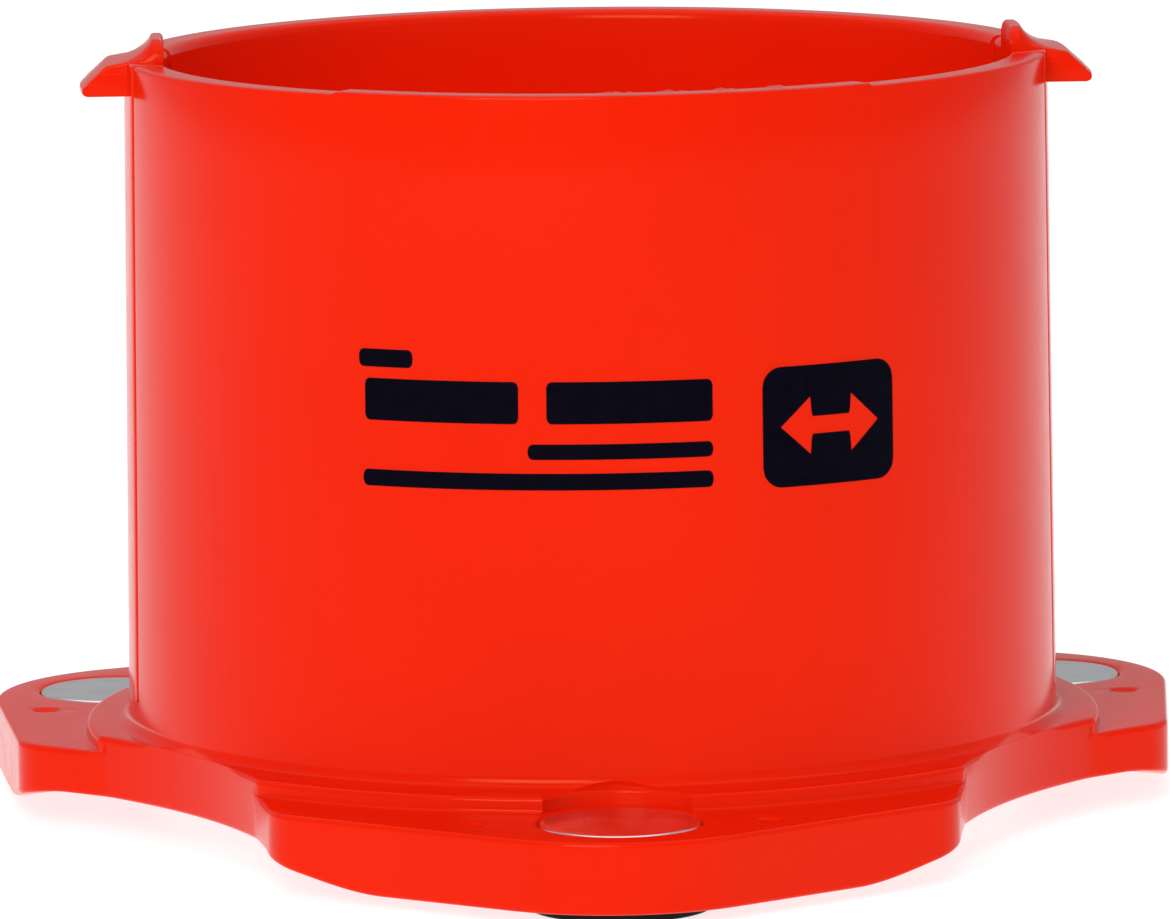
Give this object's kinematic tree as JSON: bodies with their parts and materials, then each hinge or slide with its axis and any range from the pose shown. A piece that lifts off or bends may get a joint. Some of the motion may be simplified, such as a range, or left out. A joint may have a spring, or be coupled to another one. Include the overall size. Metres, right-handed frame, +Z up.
{
  "type": "tape dispenser",
  "caption": "Upright tube on a three-lobed magnetic base that stores a roll of wide tape, held on by two spring clips.",
  "frame": {"origin": "on the surface that the feet stand on, under the middle of the whole object's box; the tube's axis is 6.06 mm behind it, at y = +6.06 mm", "axes": "+Z up along the tube, -Y to the front lobe, +X to the right clip seen from the front"},
  "size_m": [0.0984, 0.0966, 0.064],
  "materials": {
    "red_plastic": "glossy moulded plastic",
    "magnet_plating": "nickel plate, satin",
    "black_rubber": "matt"
  },
  "bodies": {
    "holder": {"holder_body": "red_plastic", "magnet_front": "magnet_plating", "magnet_rear_right": "magnet_plating", "magnet_rear_left": "magnet_plating", "rubber_foot_front": "black_rubber", "rubber_foot_rear_right": "black_rubber", "rubber_foot_rear_left": "black_rubber"},
    "right_clip": {"right_clip_arm": "red_plastic"},
    "left_clip": {"left_clip_arm": "red_plastic"}
  },
  "joints": [
    {"name": "right_clip_flex", "type": "hinge", "parent": "holder", "child": "right_clip", "pos_m": [0.0362, 0.00606, 0.0115], "axis": [0, -1, 0], "range_deg": [0, 4], "stiffness_Nm_per_rad": 2.4},
    {"name": "left_clip_flex", "type": "hinge", "parent": "holder", "child": "left_clip", "pos_m": [-0.0362, 0.00606, 0.0115], "axis": [0, 1, 0], "range_deg": [0, 4], "stiffness_Nm_per_rad": 2.4}
  ]
}
